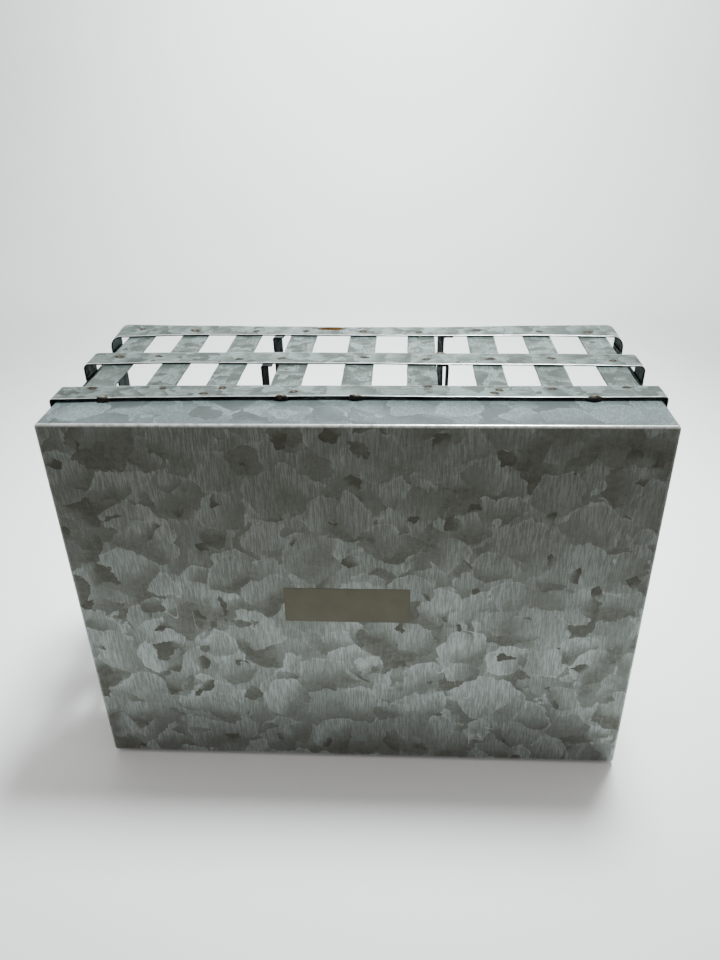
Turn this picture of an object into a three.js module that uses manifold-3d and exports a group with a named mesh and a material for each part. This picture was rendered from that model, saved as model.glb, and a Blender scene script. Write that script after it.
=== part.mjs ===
// Milk bottle crate of galvanised steel: a folded sheet pan, an open basket of upright
// slats inside three hoops, and crossed divider straps that make six bottle cells.
//
// Millimetres. Every piece is drawn on the upright crate: x along its length, y across
// its width with the front at -y, z up from the underside of the pan. The last group
// lays the crate on its back side, so the front side is uppermost, the underside of the
// pan faces -Y and the open top faces +Y.

import * as THREE from 'three';
import { mergeVertices } from 'three/addons/utils/BufferGeometryUtils.js';
import Module from 'manifold-3d';

// ---------------------------------------------------------------- driving dimensions

const PAN_LENGTH = 343;
const PAN_WIDTH = 252;
const PAN_DEPTH = 42;
const PAN_SHEET = 0.8;
const PAN_BEND = 1.4;              // outside radius of the folded bottom edges
const PAN_CORNER = 2.2;            // outside radius of the upright corners

const STRAP_WIDTH = 18;            // hoops, slats and dividers are cut from the same strip
const FIT_GAP = 0.25;              // air between two pieces that are welded together

const SLAT_THICKNESS = 0.8;
const SLAT_FOOT = 35;              // height at which a slat starts, hidden by the lower hoop
const SLAT_TOP = 151;
const SIDE_SLAT_PITCH = 38.1;      // along the two long sides
const END_SLAT_PITCH = 43.4;       // along the two short ends
const END_SLAT_COUNT = 6;

// Hand-set slats of a long side: how far each stands off the even pitch, and its lean.
const SIDE_SLAT_SHIFT = [0.9, -0.8, -2.5, -2.4, 0.5, 1.1, 3.0, 2.1, 0.9];
const SIDE_SLAT_LEAN_DEG = [0, 0.3, 1.2, 1.0, 0.3, 0.5, 0, 0.1, -0.8];

const HOOP_THICKNESS = 1.0;
const HOOP_SLIT = 0.4;             // between the two ends of the strip that makes a hoop
const HOOP_SLIT_X = 18;            // the ends meet on the back side, clear of the slats
const HOOPS = [
  { name: 'band_lower', bottom: 31, corner: 2.2 },
  { name: 'band_middle', bottom: 83, corner: 4.0 },
  { name: 'band_upper', bottom: 135, corner: 7.0 },
];

const DIVIDER_THICKNESS = 1.0;
const DIVIDER_BEND = 1.8;          // outside radius where an end tab turns off the strap
const TAB_LENGTH = 6.5;
const LAP_GAP = 0.4;               // each side of a strap that stands in a half-lap notch
const DIVIDER_DROP = 0.6;          // a divider's middle lies this far below its hoop's
// Straps across the width: x of the strap, its tilt out of the upright, and the side
// that its tabs turn to.
const CROSS_STRAPS = [
  { name: 'cross_strap_left_lower', hoop: 1, x: -60.3, tiltDeg: 2, tabSide: 1 },
  { name: 'cross_strap_left_upper', hoop: 2, x: -59.3, tiltDeg: 9, tabSide: 1 },
  { name: 'cross_strap_right_lower', hoop: 1, x: 55.4, tiltDeg: 0, tabSide: -1 },
  { name: 'cross_strap_right_upper', hoop: 2, x: 53.4, tiltDeg: -6, tabSide: 1 },
];
const LONG_STRAPS = [
  { name: 'long_strap_lower', hoop: 1 },
  { name: 'long_strap_upper', hoop: 2 },
];

// ------------------------------------------------------------------- derived places

// Stack at every side, from the pan outwards: pan sheet, gap, slat, gap, hoop.
const SLAT_OFFSET = FIT_GAP + SLAT_THICKNESS / 2;
const HOOP_INNER_OFFSET = FIT_GAP + SLAT_THICKNESS + FIT_GAP;
const HOOP_OUTER_OFFSET = HOOP_INNER_OFFSET + HOOP_THICKNESS;
const RIM_HEIGHT = HOOPS[2].bottom + STRAP_WIDTH;

const ARC_SEGMENTS = 6;
const STEEL = new THREE.Color(0.62, 0.66, 0.66);

const wasm = await Module();
wasm.setup();

// --------------------------------------------------------------------- small helpers

function steelMesh(name, geometry) {
  const steel = new THREE.MeshStandardMaterial({
    color: STEEL,
    metalness: 0.85,
    roughness: 0.42,
  });
  const mesh = new THREE.Mesh(geometry, steel);
  mesh.name = name;
  return mesh;
}

function toSolid(geometry) {
  const bare = geometry.clone();
  bare.deleteAttribute('normal');
  bare.deleteAttribute('uv');
  const merged = mergeVertices(bare, 1e-4);
  return new wasm.Manifold(new wasm.Mesh({
    numProp: 3,
    vertProperties: new Float32Array(merged.attributes.position.array),
    triVerts: new Uint32Array(merged.index.array),
  }));
}

function toGeometry(solid) {
  const mesh = solid.getMesh();
  const geometry = new THREE.BufferGeometry();
  geometry.setAttribute('position', new THREE.BufferAttribute(mesh.vertProperties, 3));
  geometry.setIndex(new THREE.BufferAttribute(mesh.triVerts, 1));
  geometry.computeVertexNormals();
  return geometry;
}

// Counter-clockwise rectangle about the origin, with rounded corners.
function roundedRectangle(length, width, radius, target = new THREE.Shape()) {
  const x = length / 2 - radius;
  const y = width / 2 - radius;
  const quarter = Math.PI / 2;
  target.moveTo(x + radius, -y);
  target.absarc(x, y, radius, 0, quarter, false);
  target.absarc(-x, y, radius, quarter, 2 * quarter, false);
  target.absarc(-x, -y, radius, 2 * quarter, 3 * quarter, false);
  target.absarc(x, -y, radius, 3 * quarter, 4 * quarter, false);
  return target;
}

// Box with rounded upright corners and a rounded underside; its bottom is at z = 0.
// The corner radius has to be larger than the bend radius.
function roundedTray(length, width, height, corner, bend) {
  const geometry = new THREE.ExtrudeGeometry(roundedRectangle(length, width, corner), {
    depth: height,
    bevelThickness: bend,
    bevelSize: bend,
    bevelOffset: -bend,
    bevelSegments: 4,
    curveSegments: ARC_SEGMENTS,
  });
  return geometry.translate(0, 0, bend);
}

// ----------------------------------------------------------------------------- pan

function basePan() {
  const outside = roundedTray(PAN_LENGTH, PAN_WIDTH, PAN_DEPTH, PAN_CORNER, PAN_BEND);
  const inside = roundedTray(
    PAN_LENGTH - 2 * PAN_SHEET,
    PAN_WIDTH - 2 * PAN_SHEET,
    PAN_DEPTH,
    PAN_CORNER - PAN_SHEET,
    PAN_BEND - PAN_SHEET,
  );
  inside.translate(0, 0, PAN_SHEET);
  const aboveRim = new THREE.BoxGeometry(2 * PAN_LENGTH, 2 * PAN_WIDTH, PAN_DEPTH);
  aboveRim.translate(0, 0, 1.5 * PAN_DEPTH);
  const pan = toSolid(outside).subtract(toSolid(inside)).subtract(toSolid(aboveRim));
  return steelMesh('base_pan', toGeometry(pan));
}

// --------------------------------------------------------------------------- hoops

function hoop({ name, bottom, corner }) {
  const length = PAN_LENGTH + 2 * HOOP_OUTER_OFFSET;
  const width = PAN_WIDTH + 2 * HOOP_OUTER_OFFSET;
  const outline = roundedRectangle(length, width, corner);
  outline.holes.push(roundedRectangle(
    length - 2 * HOOP_THICKNESS,
    width - 2 * HOOP_THICKNESS,
    corner - HOOP_THICKNESS,
    new THREE.Path(),
  ));
  const ring = new THREE.ExtrudeGeometry(outline, {
    depth: STRAP_WIDTH,
    bevelEnabled: false,
    curveSegments: ARC_SEGMENTS,
  });
  const slit = new THREE.BoxGeometry(HOOP_SLIT, 10 * HOOP_THICKNESS, 2 * STRAP_WIDTH);
  slit.translate(HOOP_SLIT_X, width / 2, 0);
  const mesh = steelMesh(name, toGeometry(toSolid(ring).subtract(toSolid(slit))));
  mesh.position.z = bottom;
  return mesh;
}

// --------------------------------------------------------------------------- slats

function slat(name) {
  const height = SLAT_TOP - SLAT_FOOT;
  const geometry = new THREE.BoxGeometry(STRAP_WIDTH, SLAT_THICKNESS, height);
  const mesh = steelMesh(name, geometry);
  mesh.position.z = SLAT_FOOT + height / 2;
  return mesh;
}

// The nine slats of a long side; side is -1 at the front and 1 at the back.
function longSideSlats(label, side) {
  const middle = (SIDE_SLAT_SHIFT.length - 1) / 2;
  return SIDE_SLAT_SHIFT.map((shift, index) => {
    const mesh = slat(`${label}_slat_${index + 1}`);
    mesh.position.x = (index - middle) * SIDE_SLAT_PITCH + shift;
    mesh.position.y = side * (PAN_WIDTH / 2 + SLAT_OFFSET);
    mesh.rotation.y = THREE.MathUtils.degToRad(SIDE_SLAT_LEAN_DEG[index]);
    return mesh;
  });
}

// The slats of a short end; side is -1 at the left and 1 at the right.
function endSlats(label, side) {
  const meshes = [];
  for (let index = 0; index < END_SLAT_COUNT; index += 1) {
    const mesh = slat(`${label}_slat_${index + 1}`);
    mesh.position.x = side * (PAN_LENGTH / 2 + SLAT_OFFSET);
    mesh.position.y = (index - (END_SLAT_COUNT - 1) / 2) * END_SLAT_PITCH;
    mesh.rotation.z = Math.PI / 2;
    meshes.push(mesh);
  }
  return meshes;
}

// ------------------------------------------------------------------------ dividers

// Strip with a tab turned off square at both ends, seen edge on: the strap runs along y
// with its faces at x = +-thickness/2, and the tabs reach towards +x.
function tabbedStripOutline(span) {
  const half = span / 2;
  const skin = DIVIDER_THICKNESS / 2;
  const innerBend = DIVIDER_BEND - DIVIDER_THICKNESS;
  const bendX = DIVIDER_BEND - skin;
  const bendY = half - DIVIDER_BEND;
  const shape = new THREE.Shape();
  shape.moveTo(TAB_LENGTH, -half);
  shape.lineTo(TAB_LENGTH, -half + DIVIDER_THICKNESS);
  shape.absarc(bendX, -bendY, innerBend, 1.5 * Math.PI, Math.PI, true);
  shape.absarc(bendX, bendY, innerBend, Math.PI, Math.PI / 2, true);
  shape.lineTo(TAB_LENGTH, half - DIVIDER_THICKNESS);
  shape.lineTo(TAB_LENGTH, half);
  shape.absarc(bendX, bendY, DIVIDER_BEND, Math.PI / 2, Math.PI, false);
  shape.absarc(bendX, -bendY, DIVIDER_BEND, Math.PI, 1.5 * Math.PI, false);
  return shape;
}

// Strap centred on the origin, its width along z.
function dividerStrip(span) {
  const geometry = new THREE.ExtrudeGeometry(tabbedStripOutline(span), {
    depth: STRAP_WIDTH,
    bevelEnabled: false,
    curveSegments: 4,
  });
  return geometry.translate(0, 0, -STRAP_WIDTH / 2);
}

// Half-lap notch cutter: from the strap's mid-height out past its edge, upwards for
// direction 1 and downwards for -1.
function lapNotch(direction) {
  const width = DIVIDER_THICKNESS + 2 * LAP_GAP;
  const notch = new THREE.BoxGeometry(width, width, STRAP_WIDTH);
  return notch.translate(0, 0, direction * (STRAP_WIDTH / 2 - LAP_GAP));
}

function strapHeight(hoopIndex) {
  return HOOPS[hoopIndex].bottom + STRAP_WIDTH / 2 - DIVIDER_DROP;
}

function crossStrap({ name, hoop: hoopIndex, x, tiltDeg, tabSide }) {
  const span = PAN_WIDTH + 2 * (HOOP_INNER_OFFSET - FIT_GAP);
  const strip = dividerStrip(span);
  if (tabSide < 0) strip.rotateZ(Math.PI);
  const notched = toSolid(strip).subtract(toSolid(lapNotch(1)));
  const mesh = steelMesh(name, toGeometry(notched));
  mesh.position.set(x, 0, strapHeight(hoopIndex));
  mesh.rotation.y = THREE.MathUtils.degToRad(tiltDeg);
  return mesh;
}

function longStrap({ name, hoop: hoopIndex }) {
  const span = PAN_LENGTH + 2 * (HOOP_INNER_OFFSET - FIT_GAP);
  let strip = toSolid(dividerStrip(span).rotateZ(-Math.PI / 2));
  const crossing = CROSS_STRAPS.filter((strap) => strap.hoop === hoopIndex);
  for (const { x, tiltDeg } of crossing) {
    const notch = lapNotch(-1).rotateY(THREE.MathUtils.degToRad(tiltDeg));
    strip = strip.subtract(toSolid(notch.translate(x, 0, 0)));
  }
  const mesh = steelMesh(name, toGeometry(strip));
  mesh.position.z = strapHeight(hoopIndex);
  return mesh;
}

// ------------------------------------------------------------------------ assembly

const uprightCrate = new THREE.Group();
uprightCrate.add(
  basePan(),
  ...HOOPS.map(hoop),
  ...longSideSlats('front', -1),
  ...longSideSlats('back', 1),
  ...endSlats('left', -1),
  ...endSlats('right', 1),
  ...CROSS_STRAPS.map(crossStrap),
  ...LONG_STRAPS.map(longStrap),
);
uprightCrate.rotation.x = -Math.PI / 2;
uprightCrate.position.set(0, -RIM_HEIGHT / 2, PAN_WIDTH / 2 + HOOP_OUTER_OFFSET);

const crate = new THREE.Group();
crate.add(uprightCrate);

export default crate;
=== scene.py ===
import math
import random

import bmesh
import bpy
from mathutils import Matrix, Vector, noise


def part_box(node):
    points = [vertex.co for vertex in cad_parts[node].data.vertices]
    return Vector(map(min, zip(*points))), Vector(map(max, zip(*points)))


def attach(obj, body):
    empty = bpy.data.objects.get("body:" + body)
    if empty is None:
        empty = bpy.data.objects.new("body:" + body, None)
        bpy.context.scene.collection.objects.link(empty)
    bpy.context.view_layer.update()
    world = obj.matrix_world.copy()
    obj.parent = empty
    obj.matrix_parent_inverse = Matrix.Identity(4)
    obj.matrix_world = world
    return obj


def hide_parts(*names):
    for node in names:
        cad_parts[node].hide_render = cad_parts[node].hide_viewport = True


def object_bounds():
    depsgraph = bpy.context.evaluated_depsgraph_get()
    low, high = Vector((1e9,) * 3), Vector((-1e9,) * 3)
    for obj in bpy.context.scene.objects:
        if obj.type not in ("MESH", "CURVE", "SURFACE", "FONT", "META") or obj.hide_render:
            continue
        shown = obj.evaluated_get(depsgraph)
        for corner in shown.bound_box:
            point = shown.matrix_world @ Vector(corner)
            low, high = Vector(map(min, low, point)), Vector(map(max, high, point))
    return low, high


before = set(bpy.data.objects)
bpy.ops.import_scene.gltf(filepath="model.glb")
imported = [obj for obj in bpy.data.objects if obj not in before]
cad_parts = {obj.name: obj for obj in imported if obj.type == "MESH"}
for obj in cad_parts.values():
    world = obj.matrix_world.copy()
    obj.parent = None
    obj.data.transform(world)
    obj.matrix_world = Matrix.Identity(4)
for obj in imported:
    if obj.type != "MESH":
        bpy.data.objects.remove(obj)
CAD_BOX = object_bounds()

# The crate lies on its back side. Every piece is drawn on the upright crate: x along its
# length, y across its width with the front at -y, z up from the underside of the pan.
# LAY_DOWN then turns it into the frame's place. The camera, the floor and the lamps are
# placed in the frame itself. Lengths are metres.

MM = 0.001
RIGHT = Vector((1, 0, 0))
BACK = Vector((0, 1, 0))
UP = Vector((0, 0, 1))

# ---------------- places from the frame

PAN_LOW, PAN_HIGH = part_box("base_pan")
PAN_LENGTH = PAN_HIGH.x - PAN_LOW.x
PAN_DEPTH = PAN_HIGH.y - PAN_LOW.y
PAN_WIDTH = PAN_HIGH.z - PAN_LOW.z
UNDERSIDE = PAN_LOW.y
MIDDLE = (PAN_LOW.z + PAN_HIGH.z) / 2
LAY_DOWN = Matrix((
    (1, 0, 0, 0),
    (0, 0, 1, UNDERSIDE),
    (0, -1, 0, MIDDLE),
    (0, 0, 0, 1),
))

# ---------------- driving dimensions

PAN_SHEET = 0.8 * MM
PAN_BEND = 1.1 * MM               # outside radius of the folded bottom edges
PAN_CORNER = 2.2 * MM             # outside radius of the upright corners
PAN_CELL = 6 * MM                 # size of a cell of the pan's mesh
OIL_CANNING = 0.35 * MM           # how far the thin bottom sheet stands off flat
SIDE_BEND_HIGHLIGHT = 0.2              # strength of the painted highlight on the other three bends; the front one has 1
PAN_OFFSET = Vector((400, 400, 400))  # where the pan was cut out of the zinc sheet, in mm

# A strip's rim is how far the painted colour of its edges reaches onto its faces: a painted
# highlight on the hoops, painted shade on the slats and dividers, and painted shade on the inner
# half of every edge.
STRAP_WIDTH = 18 * MM
SKIN_SPREAD = 12                  # sets the crystals of a strip's two faces apart
FAR_EDGE_PAINT = 0.4               # strength of the painted edge colour on the edge away from the underside; the near one has 1
SLAT_THICKNESS = 0.8 * MM
SLAT_ROUNDING = 0.3 * MM
SLAT_RIM = 0.3 * MM
SLAT_TOP = 148.5 * MM
SIDE_SLATS = 9
END_SLATS = 6
SIDE_SLAT_LEAN_DEG = (0, 0.3, 1.2, 1.0, 0.3, 0.5, 0, 0.1, -0.8)

HOOP_THICKNESS = 1.0 * MM
HOOP_ROUNDING = 0.42 * MM
HOOP_RIM = 0.7 * MM
HOOP_SLIT = 0.4 * MM              # gap of the butt joint, which is at the back
HOOP_SLIT_X = 18 * MM

# The hoops were bent by hand. Each list runs along the front side from the left corner to
# the right one, at even steps: how far each edge stands above or below its straight
# line, and how far it flares outwards, in mm. The near edge is the one nearer the pan.
HOOPS = {
    "band_lower": {
        "corner": 2.2 * MM,
        "near_rise": (-3.0, -0.4, 0.9, 1.4, 0.8, 0.4, 1.0),
        "far_rise": (-3.0, -1.0, -0.5, -0.8, -1.2, -1.1, -1.0),
        "near_flare": (0.0, 0.1, 0.2, 0.3, 0.2, 0.1, 0.1),
        "far_flare": (0.0, 0.0, 0.0, 0.0, 0.0, 0.0, 0.0),
    },
    "band_middle": {
        "corner": 4.0 * MM,
        "near_rise": (-0.8, 1.5, 1.0, 0.0, -1.4, -2.5, -4.6),
        "far_rise": (0.3, 1.5, 1.4, 0.7, -1.0, -1.7, -3.8),
        "near_flare": (0.0, 0.1, 0.0, 0.1, 0.0, 0.1, 0.0),
        "far_flare": (0.2, 0.0, 0.1, 0.0, 0.0, 0.1, 0.2),
    },
    "band_upper": {
        "corner": 8.0 * MM,
        "near_rise": (-2.0, 1.2, 0.9, -0.5, -1.5, -1.5, -4.0),
        "far_rise": (0.8, 0.5, -0.2, -1.5, -1.8, -0.5, -0.7),
        "near_flare": (0.0, 0.2, 0.1, 0.0, 0.0, 0.1, 0.0),
        "far_flare": (1.8, 0.9, 0.3, 0.0, 0.0, 0.4, 0.8),
    },
}

DIVIDER_THICKNESS = 1.0 * MM
DIVIDER_ROUNDING = 0.35 * MM
DIVIDER_CELL = 4 * MM             # length of a cell of its mesh
DIVIDER_BEND = 1.8 * MM           # outside radius where an end tab turns off the strap
TAB_LENGTH = 6.5 * MM
LAP_GAP = 0.4 * MM                # play of the half-laps
LAP_STIFFENS = 25 * MM            # how far from a half-lap a strap is held straight
# Straps across the width: x, tilt at the front end and at the back end, side of the tabs.
CROSS_STRAPS = {
    "cross_strap_left_lower": (-60.3, 2, 2, 1),
    "cross_strap_left_upper": (-59.3, 9, 5, 1),
    "cross_strap_right_lower": (55.4, 0, 0, -1),
    "cross_strap_right_upper": (53.4, -9, -3, 1),
}
LONG_STRAPS = ("long_strap_lower", "long_strap_upper")

LABEL_LENGTH = 76.2 * MM
LABEL_HEIGHT = 25.4 * MM
LABEL_FILM = 0.12 * MM
LABEL_X = -5.3 * MM               # centre of the label on the underside
LABEL_Z = 133.35 * MM             # its height above the floor

# Spot welds of the front side, left to right: x and height above the underside, in mm.
FRONT_WELDS = {
    "band_lower": (
        (-153.6, 43.5), (-112, 43.6), (-85.9, 36), (-76.9, 44.0), (-34.6, 38.5),
        (42, 46.5), (79.2, 37), (81.9, 41.2), (111.8, 42.7), (154.1, 45.5),
    ),
    "band_middle": (
        (-153.9, 94.0), (-128.7, 95.2), (-75.3, 89.8), (-48.8, 91.4), (3.6, 93),
        (42.4, 89.4), (81.4, 89.3), (119.1, 90.5), (155.7, 86.4),
    ),
    "band_upper": (
        (-153.7, 145.5), (-116.6, 143.1), (-73.2, 142.7), (-39.2, 142.4), (0.1, 142.1),
        (38, 139.7), (78.1, 143.4), (118.9, 140.5), (150.9, 138.0),
    ),
}
WELD_DEPTH = 0.2 * MM                 # how far a spot weld reaches into its strip
WELD_ON_END_WAVE = 0.06 * MM          # lifts the welds of the ends onto the hoops' waves
TACK_WELDS_X = (-143, -41, 1, 133)    # where the lower hoop is tacked to the pan's wall
TACK_LENGTH = 3.9 * MM                # half length and half height of a tack
TACK_HEIGHT = 1.5 * MM
TACK_GRIP = 0.95 * MM                 # how far a tack reaches past the gap that it fills
TACK_PROUD = 0.5 * MM                 # how far its middle stands out of that gap's middle
STRAP_WELD_X = 51                     # weld of the right cross straps to the middle hoop
STRAP_WELD = (3.2 * MM, 1.0 * MM, 0.8 * MM)   # its half length, half height, half depth
HEAT_REACH = 3.6                      # of the brown tint round a spot weld, in mm
RUST_CENTRE = Vector((-22, 147.5))    # x and height of the rust patch, in mm
RUST_SIZE = Vector((9, 2.6))

# ---------------- view

FOCAL_LENGTH = 29.1
CAMERA_PLACE = Vector((26.75, -444.7, 432.6)) * MM
# Positive angles look down, turn right, and roll against the clock as seen from behind.
CAMERA_PITCH = math.radians(29.84)
CAMERA_YAW = math.radians(-3.48)
CAMERA_ROLL = math.radians(-1.33)


def make_camera():
    camera = bpy.data.objects.new("camera", bpy.data.cameras.new("camera"))
    camera.data.sensor_width = 36
    camera.data.lens = FOCAL_LENGTH
    camera.matrix_world = (
        Matrix.Translation(CAMERA_PLACE)
        @ Matrix.Rotation(-CAMERA_YAW, 4, "Z")
        @ Matrix.Rotation(math.pi / 2 - CAMERA_PITCH, 4, "X")
        @ Matrix.Rotation(CAMERA_ROLL, 4, "Z")
    )
    bpy.context.scene.collection.objects.link(camera)
    bpy.context.scene.camera = camera


# ---------------- shader building


class Shader:
    """Adds nodes to one material. An input is a number, a colour or another output."""

    def __init__(self, name):
        self.material = bpy.data.materials.new(name)
        self.material.use_nodes = True
        self.tree = self.material.node_tree
        self.tree.nodes.clear()

    def add(self, kind, inputs=None, **settings):
        node = self.tree.nodes.new("ShaderNode" + kind)
        for key, value in settings.items():
            setattr(node, key, value)
        for socket, value in (inputs or {}).items():
            self.feed(node.inputs[socket], value)
        return node

    def feed(self, socket, value):
        if isinstance(value, bpy.types.NodeSocket):
            self.tree.links.new(value, socket)
        else:
            socket.default_value = value

    def math(self, operation, a, b=0.0):
        return self.add("Math", {0: a, 1: b}, operation=operation).outputs[0]

    def plus(self, a, b):
        return self.math("ADD", a, b)

    def minus(self, a, b):
        return self.math("SUBTRACT", a, b)

    def times(self, a, b):
        return self.math("MULTIPLY", a, b)

    def vector(self, operation, a, b=(0, 0, 0), output="Vector"):
        return self.add("VectorMath", {0: a, 1: b}, operation=operation).outputs[output]

    def scaled(self, vector, factor):
        node = self.add("VectorMath", {0: vector, "Scale": factor}, operation="SCALE")
        return node.outputs[0]

    def step(self, value, low, high, start=0.0, end=1.0):
        """Smooth step of value between low and high, from start to end."""
        inputs = {"Value": value, "From Min": low, "From Max": high}
        inputs.update({"To Min": start, "To Max": end})
        return self.add("MapRange", inputs, interpolation_type="SMOOTHSTEP").outputs[0]

    def mix(self, factor, a, b):
        """Mix of two numbers."""
        return self.add("Mix", {0: factor, 2: a, 3: b}, data_type="FLOAT").outputs[0]

    def blend(self, factor, a, b):
        """Mix of two colours."""
        return self.add("Mix", {0: factor, 6: a, 7: b}, data_type="RGBA").outputs[2]

    def noise(self, place, scale, detail=2.0, rough=0.5, output="Fac"):
        inputs = {"Vector": place, "Scale": scale, "Detail": detail, "Roughness": rough}
        return self.add("TexNoise", inputs).outputs[output]

    def ramp(self, value, stops):
        node = self.add("ValToRGB", {0: value})
        elements = node.color_ramp.elements
        while len(elements) < len(stops):
            elements.new(0.5)
        for element, (position, colour) in zip(elements, stops):
            element.position = position
            element.color = (*colour, 1)
        return node.outputs[0]

    def attribute(self, name, output="Fac"):
        return self.add("Attribute", attribute_name=name).outputs[output]

    def finish(self, bsdf):
        output = self.add("OutputMaterial")
        self.tree.links.new(bsdf.outputs[0], output.inputs[0])
        return self.material


# ---------------- galvanised steel
# Zinc crystals (spangle) on the sheet. The mesh carries where each point lay on the flat
# sheet, in mm, so the pattern runs round the bends as it does on real sheet.

PAN_TONES = (
    (0.00, (0.056, 0.056, 0.045)),
    (0.25, (0.084, 0.087, 0.074)),
    (0.50, (0.124, 0.134, 0.122)),
    (0.75, (0.176, 0.196, 0.186)),
    (1.00, (0.250, 0.284, 0.275)),
)
STRAP_TONES = (
    (0.00, (0.041, 0.050, 0.046)),
    (0.40, (0.064, 0.081, 0.075)),
    (0.70, (0.094, 0.120, 0.113)),
    (1.00, (0.185, 0.232, 0.226)),
)
WALL_TONES = (
    (0.00, (0.055, 0.066, 0.065)),
    (0.40, (0.082, 0.101, 0.101)),
    (0.75, (0.150, 0.187, 0.190)),
    (1.00, (0.270, 0.328, 0.338)),
)
# Painted shade: the dividers get much darker tones than the other strips, and no metal, for the
# shade they lie in inside the crate.
DIVIDER_SHADE_TONES = (
    (0.00, (0.026, 0.028, 0.028)),
    (0.50, (0.044, 0.049, 0.050)),
    (1.00, (0.094, 0.106, 0.110)),
)
# Painted edge colours: a painted highlight along the hoops' edges and the pan's bends, painted
# shade along the edges of the slats and dividers.
EDGE_HIGHLIGHT = (0.72, 0.74, 0.73, 1)
SLAT_EDGE_SHADE = (0.045, 0.050, 0.048, 1)
DIVIDER_EDGE_SHADE = (0.020, 0.021, 0.021, 1)


def warped(shader, place, reach, size, shift):
    """The place, moved about by noise: reach is how far, size the noise's own scale."""
    moved = shader.vector("ADD", place, shift)
    swirl = shader.noise(moved, 1 / size, output="Color")
    centred = shader.vector("SUBTRACT", swirl, (0.5, 0.5, 0.5))
    return shader.vector("ADD", moved, shader.scaled(centred, 2 * reach))


def crystals(shader, place, size, lean_spread):
    """Crystals of about that size. Gives the distance from a crystal's middle and the
    place along its own slope, both in crystal sizes, and three random numbers."""
    cells = shader.add("TexVoronoi", {"Vector": place, "Scale": 1 / size})
    centre = cells.outputs["Position"]
    pick = shader.add("TexWhiteNoise", {"Vector": centre}).outputs["Color"]
    random_lean = shader.vector("SUBTRACT", cells.outputs["Color"], (0.5, 0.5, 0.5))
    lean = shader.vector("ADD", shader.scaled(random_lean, lean_spread), (0, 0.5, 0))
    lean = shader.vector("NORMALIZE", lean)
    away = shader.vector("SUBTRACT", place, centre)
    slope = shader.vector("DOT_PRODUCT", away, lean, output="Value")
    slope = shader.math("DIVIDE", slope, size)
    picks = shader.add("SeparateXYZ", {0: pick}).outputs
    return cells.outputs["Distance"], slope, picks


def petals(shader, tone, place, size, shift):
    """Lays round-edged crystals over the tone: pale at one side, darker at the other."""
    bent = warped(shader, place, 0.20 * size, 0.45 * size, shift)
    bent = warped(shader, bent, 1.3, 4.5, (31, 7, 3))
    distance, slope, picks = crystals(shader, bent, size, 1.3)
    radius = shader.mix(picks[0], 0.40, 0.74)
    cover = shader.step(shader.minus(distance, radius), -0.012, 0.012, 1.0, 0.0)
    fading = shader.step(slope, 0.10, 0.55, 1.0, 0.45)
    cover = shader.times(cover, fading)
    light_side = shader.mix(picks[1], 0.62, 0.88)
    dark_side = shader.mix(picks[2], 0.10, 0.58)
    shade = shader.mix(shader.step(slope, -0.22, 0.42), light_side, dark_side)
    rim = shader.step(shader.minus(radius, distance), 0.0, 0.06, 0.15, 0.0)
    rim = shader.times(rim, shader.step(slope, -0.2, 0.2, 1.0, 0.0))
    shade = shader.plus(shade, rim)
    return shader.mix(cover, tone, shade)


def spangle(shader, place, size, dark_share, calm):
    """How light the zinc is, from 0 to 1. calm takes away the dark crystals."""
    bent = warped(shader, place, 0.3 * size, 0.6 * size, (0, 0, 0))
    _, slope, picks = crystals(shader, bent, size, 2.0)
    tone = shader.mix(shader.step(slope, -0.4, 0.4), shader.mix(picks[1], 0.45, 0.85), 0.3)
    for number, scale in enumerate((1.05, 1.25, 0.85, 1.0)):
        tone = petals(shader, tone, place, scale * size, (57 * number, 91, 13 * number))

    bent = warped(shader, place, 0.22 * size, 0.35 * size, (113, 5, 67))
    bent = warped(shader, bent, 1.0, 3.5, (3, 11, 29))
    _, slope, picks = crystals(shader, bent, 0.62 * size, 3.0)
    crowd = shader.noise(place, 1 / (3.2 * size), 1.0)
    share = shader.step(crowd, 0.35, 0.65, 0.4 * dark_share, 1.9 * dark_share)
    chosen = shader.math("LESS_THAN", picks[0], share)
    cover = shader.times(chosen, shader.step(slope, -0.42, 0.20))
    lively = shader.minus(1.0, calm)
    cover = shader.times(cover, shader.times(lively, 0.8))
    tone = shader.mix(cover, tone, shader.mix(picks[1], 0.02, 0.3))

    bent = warped(shader, place, 0.10 * size, 0.2 * size, (17, 205, 7))
    _, slope, picks = crystals(shader, bent, 0.30 * size, 3.0)
    chosen = shader.math("LESS_THAN", picks[0], 0.3 * dark_share)
    cover = shader.times(chosen, shader.step(slope, -0.6, 0.1))
    return shader.mix(shader.times(cover, lively), tone, 0.08)


def hairlines(shader, place, pitch):
    """Fine ripples along the sheet's rolling direction, which is y of the flat sheet."""
    bent = warped(shader, place, 0.6, 14, (5, 5, 5))
    stretched = shader.vector("MULTIPLY", bent, (1 / pitch, 0.075 / pitch, 0.2 / pitch))
    lines = shader.noise(stretched, 1.0, 1.0, 0.6)
    return shader.step(lines, 0.34, 0.66)


def nudge(shader, tone, pattern, amount):
    """Adds a pattern that lies round 0.5 to the tone."""
    centred = shader.minus(pattern, 0.5)
    return shader.plus(tone, shader.times(centred, amount))


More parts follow.
